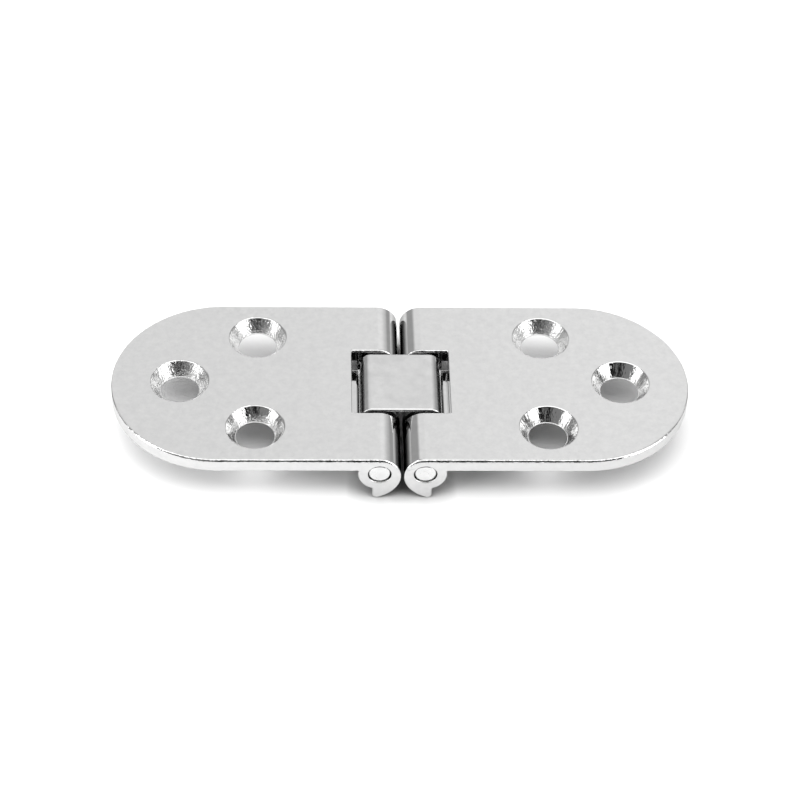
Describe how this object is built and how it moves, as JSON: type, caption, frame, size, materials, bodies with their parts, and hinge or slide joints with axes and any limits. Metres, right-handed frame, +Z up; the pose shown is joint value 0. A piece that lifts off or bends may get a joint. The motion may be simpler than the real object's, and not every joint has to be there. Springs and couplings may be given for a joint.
{
  "type": "flip-top table hinge",
  "caption": "Flush double-pin folding table hinge: round-ended leaves with countersunk screw holes turn on pins at a centre link, from flat to face to face.",
  "frame": {"origin": "middle of the open hinge, level with the tips of the cam teeth that it stands on", "axes": "+X along the open hinge towards the right leaf, +Y along the pins away from the front, +Z up, out of the flush top faces"},
  "size_m": [0.08, 0.03, 0.0074],
  "materials": {
    "leaf_plating": "bright nickel plate over a cast body, slightly rippled in the countersinks",
    "link_plating": "bright nickel plate with fine lengthwise polishing marks",
    "pin_steel": "plated steel, staked ends"
  },
  "bodies": {
    "link": {"centre_link": "link_plating"},
    "left_leaf": {"left_leaf": "leaf_plating", "left_pin": "pin_steel"},
    "right_leaf": {"right_leaf": "leaf_plating", "right_pin": "pin_steel"}
  },
  "joints": [
    {"name": "left_fold", "type": "hinge", "parent": "link", "child": "left_leaf", "pos_m": [-0.0031, 0, 0.0046], "axis": [0, 1, 0], "range_deg": [0, 90]},
    {"name": "right_fold", "type": "hinge", "parent": "link", "child": "right_leaf", "pos_m": [0.0031, 0, 0.0046], "axis": [0, -1, 0], "range_deg": [0, 90]}
  ]
}
